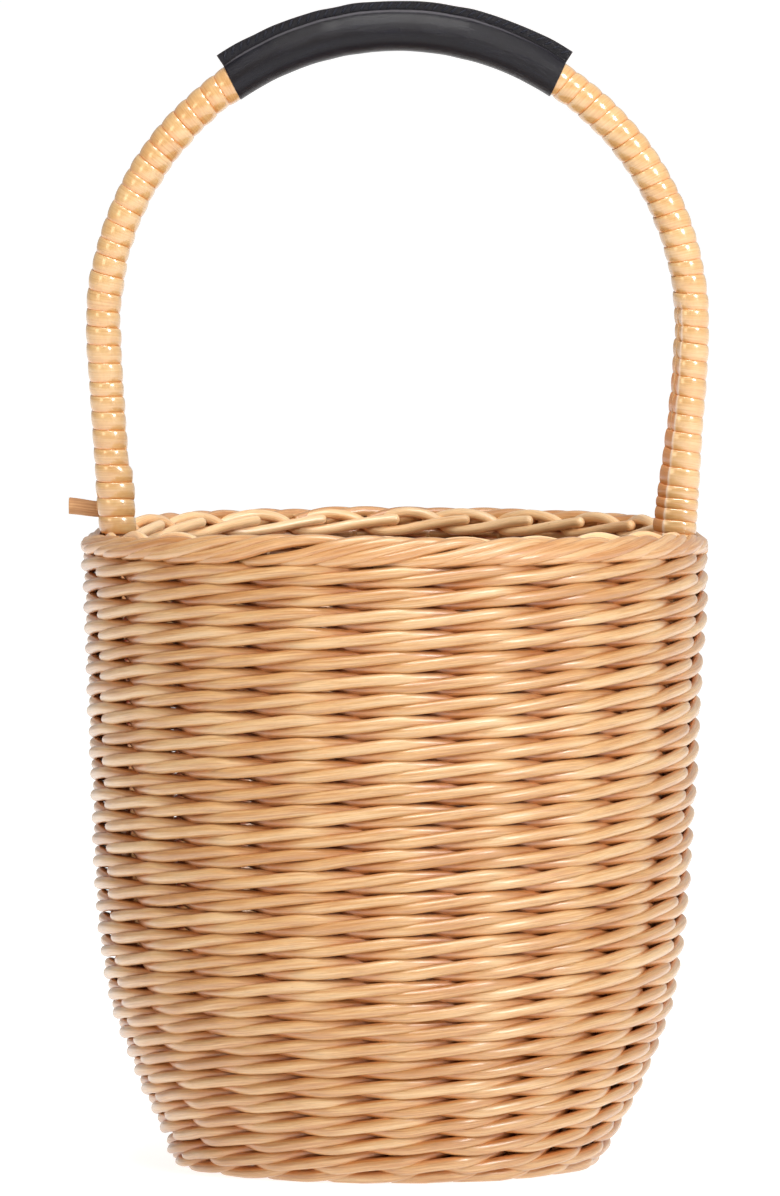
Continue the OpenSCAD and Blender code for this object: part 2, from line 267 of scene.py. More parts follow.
class Nodes:
    """A short way to write a node tree."""

    def __init__(self, name):
        self.mat = bpy.data.materials.new(name)
        self.mat.use_nodes = True
        self.tree = self.mat.node_tree
        self.tree.nodes.clear()
        self.out = self.node("ShaderNodeOutputMaterial")
        self.bsdf = self.node("ShaderNodeBsdfPrincipled")
        self.link(self.bsdf.outputs[0], self.out.inputs[0])

    def node(self, kind, **props):
        n = self.tree.nodes.new(kind)
        for k, v in props.items():
            setattr(n, k, v)
        return n

    def link(self, a, b):
        self.tree.links.new(a, b)

    def put(self, socket, value):
        if isinstance(value, bpy.types.NodeSocket):
            self.link(value, socket)
        else:
            socket.default_value = value

    def attribute(self, name, out="Fac"):
        n = self.node("ShaderNodeAttribute", attribute_name=name)
        return n.outputs[out]

    def scaled(self, vector, scale, offset=(0, 0, 0)):
        n = self.node("ShaderNodeMapping")
        self.link(vector, n.inputs["Vector"])
        n.inputs["Scale"].default_value = scale
        n.inputs["Location"].default_value = offset
        return n.outputs[0]

    def noise(self, vector, scale=1.0, detail=3.0, rough=0.55, distort=0.0):
        n = self.node("ShaderNodeTexNoise")
        self.link(vector, n.inputs["Vector"])
        n.inputs["Scale"].default_value = scale
        n.inputs["Detail"].default_value = detail
        n.inputs["Roughness"].default_value = rough
        n.inputs["Distortion"].default_value = distort
        return n.outputs["Fac"]

    def math(self, op, a, b=0.0, c=0.0, clamp=False):
        n = self.node("ShaderNodeMath", operation=op, use_clamp=clamp)
        for i, v in enumerate((a, b, c)):
            self.put(n.inputs[i], v)
        return n.outputs[0]

    def ramp(self, fac, *stops):
        """stops are (position, colour or grey)."""
        n = self.node("ShaderNodeValToRGB")
        self.link(fac, n.inputs[0])
        e = n.color_ramp.elements
        while len(e) < len(stops):
            e.new(0.5)
        for i, (pos, col) in enumerate(stops):
            e[i].position = pos
            e[i].color = col if isinstance(col, tuple) else (col, col, col, 1)
        return n.outputs[0]

    def mix(self, fac, a, b, mode="MIX"):
        n = self.node("ShaderNodeMix", data_type="RGBA", blend_type=mode)
        self.put(n.inputs[0], fac)
        self.put(n.inputs[6], a)
        self.put(n.inputs[7], b)
        return n.outputs[2]

    def bump(self, height, strength, distance, under=None):
        n = self.node("ShaderNodeBump")
        n.inputs["Strength"].default_value = strength
        n.inputs["Distance"].default_value = distance
        self.link(height, n.inputs["Height"])
        if under is not None:
            self.link(under, n.inputs["Normal"])
        return n.outputs[0]

    def set(self, **values):
        for key, value in values.items():
            self.put(self.bsdf.inputs[key.replace("_", " ")], value)


def willow_material(name, light, mid, dark, deep_col, gloss=0.42, amber=0.0):
    m = Nodes(name)
    grain = m.attribute("grain", "Vector")
    tone = m.attribute("tone")
    deep = m.attribute("deep")
    cut = m.attribute("cut")
    streak = m.noise(m.scaled(grain, (0.05, 1.5, 1.5)), 1.0, 4.0, 0.62)
    fibre = m.noise(m.scaled(grain, (0.16, 5.2, 5.2), (9, 4, 2)), 1.0, 3.0,
                    0.6)
    patch = m.noise(m.scaled(grain, (0.028, 0.22, 0.22), (3, 8, 1)), 1.0, 2.0,
                    0.5)
    # long streaks, then a slow drift in tone along the rod
    a = m.math("MULTIPLY_ADD", streak, 1.4, -0.2)
    a = m.math("ADD", a, m.math("MULTIPLY", m.math("SUBTRACT", patch, 0.5),
                                1.0))
    a = m.math("ADD", a, m.math("MULTIPLY", tone, 0.2))
    col = m.ramp(a, (0.22, dark), (0.50, mid), (0.78, light))
    fine = m.ramp(fibre, (0.34, 0.82), (0.50, 1.0), (0.7, 1.05))
    col = m.mix(1.0, col, fine, "MULTIPLY")
    # small dark flecks and bruises
    fleck = m.noise(m.scaled(grain, (0.5, 1.6, 1.6), (5, 5, 5)), 1.0, 2.0,
                    0.5)
    fleck = m.math("MULTIPLY", m.math("SUBTRACT", fleck, 0.68), 7.0,
                   clamp=True)
    col = m.mix(m.math("MULTIPLY", fleck, 0.5), col,
                srgb(178, 104, 52))
    # painted shade: recessed rods and the sides where rods press together are
    # painted darker and more orange, standing in for shade in the crevices
    painted_crevice_shade = m.ramp(deep, (0.38, deep_col), (0.82, srgb(140, 50, 8)))
    col = m.mix(m.math("MULTIPLY", deep, 0.86, clamp=True), col,
                m.mix(0.35, painted_crevice_shade, col, "MULTIPLY"))
    col = m.mix(m.math("MULTIPLY", cut, 0.8), col,
                m.ramp(m.noise(m.scaled(grain, (0.1, 2.5, 2.5)), 1.0, 2.0),
                       (0.3, srgb(176, 126, 78)), (0.7, srgb(214, 172, 118))))
    height = m.math("ADD", m.math("MULTIPLY", streak, 0.7),
                    m.math("MULTIPLY", fibre, 0.35))
    normal = m.bump(height, 0.5, 0.0004)
    rough = m.math("MULTIPLY_ADD", fibre, 0.25, gloss - 0.12)
    m.set(Base_Color=col, Roughness=rough, Normal=normal,
          Coat_Weight=0.8, Coat_Roughness=0.27, Coat_IOR=1.6,
          Specular_IOR_Level=0.75)
    return m.mat


# the fifth colour of each willow is its painted shade colour for the crevices
WILLOW = willow_material("willow", srgb(214, 176, 127), srgb(201, 153, 97),
                         srgb(183, 128, 71), srgb(244, 134, 42))
# painted light: a paler copy of the willow for the border's top and inner rods,
# standing in for light from above
WILLOW_PAINTED_LIGHT = willow_material("willow_rim_painted_light", srgb(252, 217, 167),
                              srgb(247, 203, 147), srgb(234, 179, 119),
                              srgb(248, 144, 52))
WILLOW_DARK = willow_material("willow_stakes", srgb(222, 180, 128),
                              srgb(204, 156, 102), srgb(172, 118, 66),
                              srgb(206, 130, 70))
CANE = willow_material("cane_core", srgb(216, 176, 124), srgb(198, 152, 98),
                       srgb(170, 120, 70), srgb(226, 130, 66), gloss=0.5)


def peg_material():
    m = Nodes("peg_wood")
    grain = m.attribute("grain", "Vector")
    cut = m.attribute("cut")
    streak = m.noise(m.scaled(grain, (0.06, 1.6, 1.6)), 1.0, 5.0, 0.65)
    fibre = m.noise(m.scaled(grain, (0.25, 6, 6)), 1.0, 3.0, 0.6)
    col = m.ramp(streak, (0.25, srgb(168, 114, 70)), (0.5, srgb(200, 149, 102)),
                 (0.75, srgb(224, 181, 136)))
    col = m.mix(m.math("MULTIPLY", cut, 0.7), col, srgb(204, 158, 112))
    m.set(Base_Color=col, Roughness=0.66,
          Normal=m.bump(m.math("ADD", streak, fibre), 0.5, 0.0004))
    return m.mat


PEG = peg_material()


def peel_material():
    """Flat glossy peel: its grain runs along the strip, round the handle."""
    m = Nodes("peel_lapping")
    grain = m.attribute("grain", "Vector")
    tone = m.attribute("tone")
    edge = m.attribute("deep")
    streak = m.noise(m.scaled(grain, (0.05, 1.5, 1.5)), 1.0, 4.0, 0.6)
    fibre = m.noise(m.scaled(grain, (0.1, 6.5, 6.5), (2, 9, 4)), 1.0, 3.0,
                    0.62)
    blot = m.noise(m.scaled(grain, (0.16, 0.3, 0.3), (7, 1, 3)), 1.0, 2.0)
    a = m.math("ADD", streak, m.math("MULTIPLY", tone, 0.07))
    a = m.math("ADD", a, m.math("MULTIPLY", m.math("SUBTRACT", blot, 0.5),
                                0.4))
    col = m.ramp(a, (0.2, srgb(196, 142, 84)), (0.48, srgb(213, 170, 112)),
                 (0.8, srgb(224, 189, 138)))
    fine = m.ramp(fibre, (0.3, 0.88), (0.52, 1.0), (0.72, 1.05))
    col = m.mix(1.0, col, fine, "MULTIPLY")
    # painted shade: tucked-under turn edges, the lower half of each turn and the
    # facet over the liner are painted warmer and darker
    col = m.mix(m.math("MULTIPLY", edge, 0.8, clamp=True), col,
                srgb(228, 142, 62))
    # painted highlight: a pale line along the fold over the liner's edge, carried
    # in the cut attribute
    col = m.mix(m.math("MULTIPLY", m.attribute("cut"), 0.9, clamp=True), col,
                srgb(248, 224, 202))
    height = m.math("ADD", m.math("MULTIPLY", streak, 0.5),
                    m.math("MULTIPLY", fibre, 0.5))
    m.set(Base_Color=col, Roughness=m.math("MULTIPLY_ADD", fibre, 0.2, 0.2),
          Normal=m.bump(height, 0.3, 0.0003), Coat_Weight=1.0,
          Coat_Roughness=0.16, Coat_IOR=1.8, Specular_IOR_Level=0.55)
    return m.mat


PEEL = peel_material()


def leather_material():
    m = Nodes("sleeve_leather")
    grain = m.attribute("grain", "Vector")
    raw = m.attribute("cut")
    # hairline marks along the sleeve over a very fine pebble
    hair = m.noise(m.scaled(grain, (0.1, 5.0, 5.0)), 1.0, 4.0, 0.65)
    pore = m.node("ShaderNodeTexVoronoi")
    m.link(m.scaled(grain, (2.2, 3.2, 3.2)), pore.inputs["Vector"])
    worn = m.noise(m.scaled(grain, (0.04, 0.3, 0.3), (1, 2, 3)), 1.0, 3.0)
    col = m.ramp(m.math("ADD", m.math("MULTIPLY", hair, 0.6),
                        m.math("MULTIPLY", worn, 0.4)),
                 (0.3, srgb(16, 12, 14)), (0.55, srgb(20, 19, 27)),
                 (0.8, srgb(34, 34, 46)))
    edge = m.ramp(m.noise(m.scaled(grain, (0.5, 3, 3)), 1.0, 3.0),
                  (0.3, srgb(62, 30, 24)), (0.7, srgb(112, 64, 50)))
    col = m.mix(m.math("MULTIPLY", raw, 1.0, clamp=True), col, edge)
    # painted highlight: the pale grey line beside the fin's foot
    col = m.mix(m.math("MULTIPLY", m.attribute("deep"), 0.8, clamp=True),
                col, srgb(112, 110, 116))
    height = m.math("ADD", m.math("MULTIPLY", hair, 0.7),
                    m.math("MULTIPLY", pore.outputs["Distance"], 0.4))
    # slanting creases towards the right end
    turn = m.node("ShaderNodeMapping")
    m.link(grain, turn.inputs["Vector"])
    turn.inputs["Rotation"].default_value = (0, 0, math.radians(38))
    turn.inputs["Scale"].default_value = (0.16, 1.1, 1.0)
    axis = m.node("ShaderNodeSeparateXYZ")
    m.link(grain, axis.inputs[0])
    where = m.math("MULTIPLY", m.math("SUBTRACT", axis.outputs[0],
                                      (SLEEVE_A + SLEEVE_B) / 2), 0.03,
                   clamp=True)
    crease = m.math("MULTIPLY", m.noise(turn.outputs[0], 1.0, 3.0, 0.6),
                    m.math("ADD", where, 0.12))
    rough = m.math("ADD", m.math("MULTIPLY_ADD", hair, 0.22, 0.13),
                   m.math("MULTIPLY", raw, 0.3))
    m.set(Base_Color=col, Roughness=rough,
          Normal=m.bump(height, 0.35, 0.0003, m.bump(crease, 0.5, 0.0008)),
          Coat_Weight=0.12, Coat_Roughness=0.2, Specular_IOR_Level=0.24)
    return m.mat




def thread_material():
    m = Nodes("sleeve_thread")
    grain = m.attribute("grain", "Vector")
    wave = m.node("ShaderNodeTexWave")
    m.link(m.scaled(grain, (1.0, 0.6, 0.6)), wave.inputs["Vector"])
    wave.inputs["Scale"].default_value = 1.4
    wave.inputs["Distortion"].default_value = 0.6
    col = m.ramp(wave.outputs["Fac"], (0.2, srgb(13, 14, 24)),
                 (0.8, srgb(28, 31, 50)))
    m.set(Base_Color=col, Roughness=0.55,
          Normal=m.bump(wave.outputs["Fac"], 0.5, 0.0002))
    return m.mat


THREAD = thread_material()

# ------------------------------------------------------ sizes from the frame
rows = [box("wale_row_%02d" % i) for i in range(1, 31)]
border_lo, border_hi = box("border_top_strand")
outer_lo, outer_hi = box("border_outer_strand")
BORDER_Z = rows[-1][1][2]
TOP_Z = border_hi[2]
RIM = rows[-1][1][0]
KR = RIM / 115.0
KZ = BORDER_Z / 227.0
core_lo, core_hi = box("handle_core")
lap_lo, lap_hi = box("handle_lapping_left")
rap_lo, rap_hi = box("handle_lapping_right")
sleeve_lo, sleeve_hi = box("grip_sleeve")
BOW_X = (lap_lo[0] + rap_hi[0]) / 2
BOW_R = (rap_hi[0] - lap_lo[0]) / 2 - 6.5
BOW_Z = core_hi[2] - 4.3 - BOW_R
LEG_X = 104.0
print("bow", BOW_X, BOW_R, BOW_Z, "rim", RIM, "border", BORDER_Z, TOP_Z)

# outer face of the wall, from under the foot to the border
OUTER = np.array([
    (58, 0.7), (64, 0.1), (69, 0.1), (72.6, 0.9), (75.2, 2.6), (78.4, 6.0),
    (82.1, 10.2), (89.5, 23.5), (96.8, 42), (103.4, 60.5), (106.6, 79),
    (108.6, 97.5), (109.9, 116), (110.6, 134.5), (111.6, 153), (112.3, 171.5),
    (113.2, 190), (114.0, 208.5), (114.9, 227), (115.1, 244)]) * (KR, KZ)


def wall_profile():
    d = np.concatenate([[0], np.cumsum(
        np.linalg.norm(np.diff(OUTER, axis=0), axis=1))])
    s = np.arange(0, d[-1], 0.5)
    line = np.column_stack([np.interp(s, d, OUTER[:, 0]),
                            np.interp(s, d, OUTER[:, 1])])
    k = np.exp(-0.5 * (np.arange(-24, 25) * 0.5 / 4.0) ** 2)
    k /= k.sum()
    pad = np.vstack([line[0] + (line[0] - line[1]) * np.arange(24, 0, -1)[:, None],
                     line,
                     line[-1] + (line[-1] - line[-2])
                     * np.arange(1, 25)[:, None]])
    out = np.column_stack([np.convolve(pad[:, c], k, "valid")
                           for c in (0, 1)])
    # the smoothing lifts the foot's curve a little: set it back on the floor
    out[:, 1] -= min(0.0, out[:, 1].min())
    t = unit(np.gradient(out, axis=0))
    n = np.column_stack([t[:, 1], -t[:, 0]])
    return s, out, n


PS, POUT, PN = wall_profile()
WALL = 12.3
PMID = POUT - PN * (WALL / 2)


def at_wall(s, off):
    """Radius and height at distance s up the wall, off outwards of its
    middle."""
    r = np.interp(s, PS, PMID[:, 0]) + off * np.interp(s, PS, PN[:, 0])
    z = np.interp(s, PS, PMID[:, 1]) + off * np.interp(s, PS, PN[:, 1])
    return r, z


def s_at_z(z):
    k = np.argmax(POUT[:, 0] > 74)
    return np.interp(z, POUT[k:, 1], PS[k:])


bounds_z = [0.0] + [r[1][2] for r in rows]
row_s = [s_at_z((bounds_z[i] + bounds_z[i + 1]) / 2) for i in range(30)]
row_s[0] = row_s[1] - 7.4
row_s = np.array(row_s)
pitch_s = np.gradient(row_s)

# places that every weaver passes: the front pairs, the right leg's tail with
# its pair, the back pairs, and the left leg's tail with its pair
PAIRS = [-70.5 + 18 * k for k in range(9)] + [95.5 + 14 * k for k in range(13)]
PLACES = np.array([-70.5 + 18 * k for k in range(9)] + [92.5]
                  + [109.5 + 14 * k for k in range(11)] + [266.5])
NP = len(PLACES)
RING = np.concatenate([PLACES, [PLACES[0] + 360]])


def angle_of(t):
    t = np.asarray(t, float)
    turn = np.floor(t / NP)
    return 360 * turn + np.interp(t - NP * turn, np.arange(NP + 1), RING)


# one weaver over three places: out over two pairs, then in behind one
KEY_R = np.array([-0.12, 0.95, 1.08, 0.99, 0.0, -1.0])
KEY_Z = np.array([-1.6, -0.97, 0.02, 0.94, 0.62, -0.5])


def weave(keys, t):
    u = (np.asarray(t) + 0.5) / 0.5
    i = np.floor(u).astype(int)
    f = u - i
    p = [keys[(i + d) % 6] for d in (-1, 0, 1, 2)]
    m1, m2 = (p[2] - p[0]) / 2, (p[3] - p[1]) / 2
    return ((2 * f ** 3 - 3 * f ** 2 + 1) * p[1] + (f ** 3 - 2 * f ** 2 + f)
            * m1 + (-2 * f ** 3 + 3 * f ** 2) * p[2] + (f ** 3 - f ** 2) * m2)


SIDES = 12
PER = 12

drift_a = rng.uniform(0, 2 * math.pi, 5)
drift_k = np.array([1, 2, 3, 4, 6])
drift_h = np.array([0.35, 0.3, 0.22, 0.18, 0.1])


def drift(phi, i):
    """Slow wave of the rows round the bag, much alike in rows together."""
    a = np.radians(np.asarray(phi))[:, None]
    return (drift_h * np.sin(drift_k * a + drift_a
                             + 0.33 * i * np.array([1, -1, 1, -1, 1]))).sum(1)


def waling():
    for i in range(30):
        b = Build()
        start = int(rng.randint(NP))
        cuts = [2, 23, 44, 68]
        for c in range(3):
            t0, t1 = cuts[c], cuts[c + 1]
            n = int((t1 - t0 + 0.5) * PER) + 1
            t = np.linspace(t0 - 0.25, t1 + 0.3, n)
            phi = angle_of(t + start)
            off = weave(KEY_R, t) * 4.1
            up = weave(KEY_Z, t) * pitch_s[i] / 4
            off += wander(n, 0.14, PER / 2)
            up += wander(n, 0.14, PER / 2)
            # both ends of a rod lie inside, behind a pair
            tail = np.clip(1 - (t - t[0]) / 0.5, 0, 1)
            head = np.clip(1 - (t[-1] - t) / 0.5, 0, 1)
            up = up + tail * 1.4
            off = off - 1.4 * tail ** 2 - 0.5 * head ** 2
            s = row_s[i] + up + drift(phi, i) * (0.4 if i < 2 else 1)
            r, z = at_wall(s, off)
            rad = (2.29 + rng.normal(0, 0.06)) * (
                1.04 - 0.08 * np.linspace(0, 1, n)) + wander(n, 0.045, PER)
            # pressed flat and wide behind the stakes
            rad = rad * (1 + 0.09 * np.clip(-off / 4.1, 0, 1))
            # the foot rows sit low
            z = z - (1.3, 0.8, 0.4, 0.15)[i] if i < 4 else z
            r = r + (0.6, 0.3, 0.1, 0.0)[i] if i < 4 else r
            path = around(r, phi, z)
            path[:, 2] = np.maximum(path[:, 2], rad + 0.02)
            nr = np.interp(s, PS, PN[:, 0])
            nz = np.interp(s, PS, PN[:, 1])
            ref = around(nr, phi, nz)
            # painted shade: darker where the rod lies inside, behind the stakes
            deep = np.clip(0.55 - off / 7.5, 0, 1) ** 1.3
            b.rod(path, ref, rad, SIDES, 1.0, rng.normal(0, 0.45), deep,
                  press=0.9)
        b.make("wale_row_%02d_rods" % (i + 1), WILLOW, "willow",
               "wale_row_%02d" % (i + 1),
           wall=True)


waling()


# ---------------------------------------------------------- stakes and base
def stakes():
    b = Build()
    s1 = s_at_z(BORDER_Z) + 3.0
    for phi in PAIRS:
        for side in (-1, 1):
            s = np.arange(12.0, s1, 4.0)
            r, z = at_wall(s, 0.0)
            r = np.concatenate([[50, 54], r])
            z = np.concatenate([[5.4, 5.6], z])
            d = np.degrees(side * 2.05 / r)
            ph = phi + d + wander(len(r), 0.12, 6)
            p = around(r, ph, z)
            t = unit(np.gradient(p, axis=0))
            tang = np.array([math.cos(math.radians(phi)),
                             math.sin(math.radians(phi)), 0.0])
            ref = np.cross(tang, t)
            # painted shade: the stakes, lying behind the weavers, are painted
            # darker all along
            b.rod(p, ref, np.linspace(2.05, 1.9, len(p)), 10,
                  1.0, rng.normal(0, 1), 0.45)
    b.make("side_stake_rods", WILLOW_DARK, "willow_stakes", "side_stakes",
           wall=True)


stakes()


SPOKE = -7.5


def through_sticks():
    b = Build()
    lines = []
    for side, e in ((2.9, 18.0), (-2.9, 20.0)):
        a = math.radians(e)
        sg = math.copysign(1, side)
        reach = 64.0
        pts = np.array([(-reach * math.cos(a), reach * math.sin(a) * sg, 5.2),
                        (-12, side, 5.2), (0, side, 5.2), (12, side, 5.2),
                        (reach * math.cos(a), reach * math.sin(a) * sg, 5.2)])
        p = spline(np.array([0, 1, 1.25, 1.5, 2.5]), pts,
                   np.linspace(0, 2.5, 40))
        # local x to the right, local y to the front
        q = np.column_stack([p[:, 0], -p[:, 1], p[:, 2]])
        c, s = math.cos(math.radians(SPOKE)), math.sin(math.radians(SPOKE))
        q = np.column_stack([q[:, 0] * c - q[:, 1] * s,
                             q[:, 0] * s + q[:, 1] * c, q[:, 2]])
        lines.append(q)
        # painted shade: a little darker all along
        b.rod(q, (0, 0, 1), 2.1, 10, 0.85, rng.normal(0, 1), 0.3)
    b.make("base_through_stick_rods", WILLOW_DARK, "willow_stakes",
           "base_sticks_through")
    return lines


def slit_sticks():
    b = Build()
    lines = []
    for side in (-5.8, 0.0, 5.8):
        e0, e1 = (0.0, 0.0) if side == 0 else (36.0, 28.0)
        a0, a1 = math.radians(e0), math.radians(e1)
        sg = 0 if side == 0 else math.copysign(1, side)
        reach = 64.0
        pts = np.array([(-reach * math.cos(a1), reach * math.sin(a1) * sg,
                         5.2),
                        (-10, side, 5.2), (0, side, 5.2), (10, side, 5.2),
                        (reach * math.cos(a0), reach * math.sin(a0) * sg,
                         5.2)])
        p = spline(np.array([0, 1, 1.25, 1.5, 2.5]), pts,
                   np.linspace(0, 2.5, 40))
        # local x to the front, local y to the right
        q = np.column_stack([p[:, 1], -p[:, 0], p[:, 2]])
        c, s = math.cos(math.radians(SPOKE)), math.sin(math.radians(SPOKE))
        q = np.column_stack([q[:, 0] * c - q[:, 1] * s,
                             q[:, 0] * s + q[:, 1] * c, q[:, 2]])
        lines.append(q)
        far = np.linspace(-1, 1, len(q))
        slit = np.clip(1 - np.abs(far) / 0.22, 0, 1)
        # painted shade: a little darker all along
        b.rod(q, (0, 0, 1), 2.15 + 0.75 * slit, 10, 1 - 0.25 * slit,
              rng.normal(0, 1), 0.3)
    b.make("base_slit_stick_rods", WILLOW_DARK, "willow_stakes",
           "base_sticks_slit")
    return lines


STICKS = slit_sticks() + through_sticks()


def spoke_angles(r):
    """Angles of the ten stick ends at radius r, from the front."""
    out = []
    for p in STICKS:
        rad = np.hypot(p[:, 0], p[:, 1])
        m = len(p) // 2
        for seg in (slice(0, m), slice(m, None)):
            q, rr = p[seg], rad[seg]
            k = np.argmin(np.abs(rr - r))
            out.append(math.degrees(math.atan2(q[k, 0], -q[k, 1])) % 360)
    return sorted(out)


def base_weave():
    def ring(b, r, places, height, pair_r, rod_r, deep):
        places = np.array(sorted(places))
        m = len(places)
        ringed = np.concatenate([places, [places[0] + 360]])
        per = 8
        for w in (0, 1):
            n = m * per + 3
            t = np.linspace(0, m + 0.25, n) + w * 0.0
            turn = np.floor(t / m)
            phi = 360 * turn + np.interp(t - m * turn, np.arange(m + 1),
                                         ringed)
            sign = 1 if w == 0 else -1
            # an even number of places closes the pair on itself
            z = 5.4 + sign * height * np.cos(math.pi * t)
            rr = r + wander(n, 0.12, per) + 0.35 * np.sin(math.pi * t) * sign
            p = around(rr, phi, z)
            # painted shade: darkened by the last argument
            b.rod(p, around(np.ones(n), phi, np.zeros(n)), rod_r, 8, 1.0,
                  rng.normal(0, 1), deep)

    inner, outer = Build(), Build()
    for k in range(8):
        r = 20.6 + 3.05 * k
        ring(inner, r, spoke_angles(r), 3.15, 0, 1.38 + rng.normal(0, 0.04),
             0.2)
    inner_end = 20.6 + 3.05 * 7
    for k in range(8):
        r = inner_end + 3.05 * (k + 1)
        if r > 67.5:
            break
        places = list(spoke_angles(min(r, 63)))
        if r > 55:
            places += [a % 360 for a in PAIRS]
        ring(outer, r, places, 3.15, 0, 1.38 + rng.normal(0, 0.04), 0.2)
    # four bands bind the cross in the middle
    for k, r in enumerate((11.2, 13.6, 16.0)):
        n = 97
        phi = np.linspace(0, 368, n)
        z = 5.2 + 3.5 * np.sign(np.cos(np.radians(2 * (phi - SPOKE)))) * \
            np.abs(np.cos(np.radians(2 * (phi - SPOKE)))) ** 0.5 * \
            (1 if k % 2 == 0 else 1)
        p = around(np.full(n, r) + wander(n, 0.1, 12), phi, z)
        # painted shade: a little darker all along
        inner.rod(p, around(np.ones(n), phi, np.zeros(n)), 1.3, 8, 1.0,
                  rng.normal(0, 1), 0.2)
    inner.make("base_pairing_inner_rods", WILLOW, "willow",
               "base_pairing_inner")
    outer.make("base_pairing_outer_rods", WILLOW, "willow",
               "base_pairing_outer",
           wall=True)


base_weave()

# ------------------------------------------------------------------ border
OUT_AT = np.array([-82, -66.5, -51, -35.6, -19.9, -3.4, 8.7, 23.9, 36.6, 52,
                   67, 82] + [97 + 15 * k for k in range(12)], float)
RB = float(at_wall(s_at_z(BORDER_Z), 0.0)[0])


def border_sag(phi):
    """The outer strand lies a little lower beside the legs."""
    q = (np.asarray(phi) + 180) % 360 - 180
    return np.interp(q, [-180, -125, -92, -75, -59, -41.5, -25, -5, 7, 24,
                         35, 53, 75, 92, 125, 180],
                     [0.0, -0.6, -3.9, -3.4, -3.1, -1.6, 0.7, 0.4, -0.5,
                      -0.9, -1.5, -2.1, -3.0, -3.4, -0.8, 0.0])


def strand(b, a0, width, keys, direction, rad, sides=12, squash=1.0,
           tone=None, tips=("cut", "cut"), deep=0.1, jitter=0.1, legs=None,
           skip=None):
    """keys: (place in widths, outwards of the wall's middle, above the
    waling's top)"""
    keys = np.asarray(keys, float)
    n = int((keys[-1, 0] - keys[0, 0]) * (22)) + 6
    w = np.linspace(keys[0, 0] if skip is None else skip, keys[-1, 0], n)
    rz = spline(keys[:, 0], keys[:, 1:], w)
    phi = a0 + direction * w * width
    r = RB + rz[:, 0] + wander(n, jitter, 9)
    z = BORDER_Z + rz[:, 1] + wander(n, jitter, 9)
    if legs == "out":
        z = z + border_sag(phi) * np.clip((rz[:, 1] - 1.2) / 6, 0.1, 1)
    # rods outside a leg bow round it; rods inside stop at its side
    for leg, clear in ((90.0, 5.2), (-90.0, 3.6)):
        d = (phi - leg + 180) % 360 - 180
        if legs == "out":
            over = np.clip(z - (BORDER_Z + 2.9), 0, None)
            z = z - over * np.exp(-(d / 9.0) ** 2)
            k = np.exp(-(d / 8.0) ** 2)
            r = np.maximum(r, r + k * (RB + clear - r))
        elif legs == "in":
            # in front of a leg they dip under the rope of the border
            z = z - np.where(d * leg < 0, 4.0 * np.exp(-(d / 22.0) ** 2), 0)
            keep = np.where(d * leg < 0, np.abs(d) > 12.5, np.abs(d) > 6.5)
            if not keep.all():
                if keep.sum() < 8:
                    return
                runs = np.flatnonzero(np.diff(keep.astype(int))) + 1
                parts = np.split(np.arange(n), runs)
                parts = [q for q in parts if keep[q[0]]]
                best = max(parts, key=len)
                phi, r, z = phi[best], r[best], z[best]
                n = len(best)
                if n < 8:
                    return
    p = around(r, phi, z)
    ref = around(np.ones(n), phi, np.full(n, 0.6))
    if legs == "in":
        ref = around(-np.ones(n), phi, np.full(n, 0.9))
    # painted shade: slightly darker all along, and darker at the sides where rods
    # press together
    b.rod(p, ref, rad, sides, squash, rng.normal(0, 0.5) if tone is None
          else tone, deep, ends=tips, press=0.3)


# rods that lie side by side, rise to the right outside and go over the top
OUT_KEYS = [(-0.35, -1.2, 1.4), (-0.1, 1.9, 2.0), (0.15, 4.0, 2.5),
            (0.45, 5.0, 3.6), (0.75, 4.9, 5.4), (1.05, 4.3, 7.6),
            (1.35, 3.0, 9.3), (1.6, 1.6, 9.6), (1.85, 0.2, 8.6),
            (2.1, -0.6, 6.6)]
# inside, a rod comes over the top and passes down behind the last one's end
TOP_KEYS = [(0.0, 0.9, 5.2), (0.12, 0.4, 6.9), (0.3, -0.9, 8.5),
            (0.52, -1.8, 9.4), (0.76, -2.2, 8.7), (0.92, -2.2, 7.2),
            (1.04, -2.5, 5.2)]
# turns under it, rises to the right and lies on the next
IN_KEYS = [(0.92, -2.2, 7.2), (1.04, -2.5, 5.2), (1.13, -3.6, 3.7),
           (1.28, -5.4, 3.0), (1.55, -6.5, 3.6), (1.8, -6.7, 4.7),
           (2.05, -6.7, 5.9), (2.3, -6.4, 6.9), (2.47, -6.0, 7.3)]
# where the ends lie on each other inside, from the left leg round the back
TIPS = [237.4, 223.8, 209.4, 194.4, 178.8, 163.7, 149.3, 136.0, 119.4] + [
    119.4 - 15.125 * k for k in range(1, 16)]


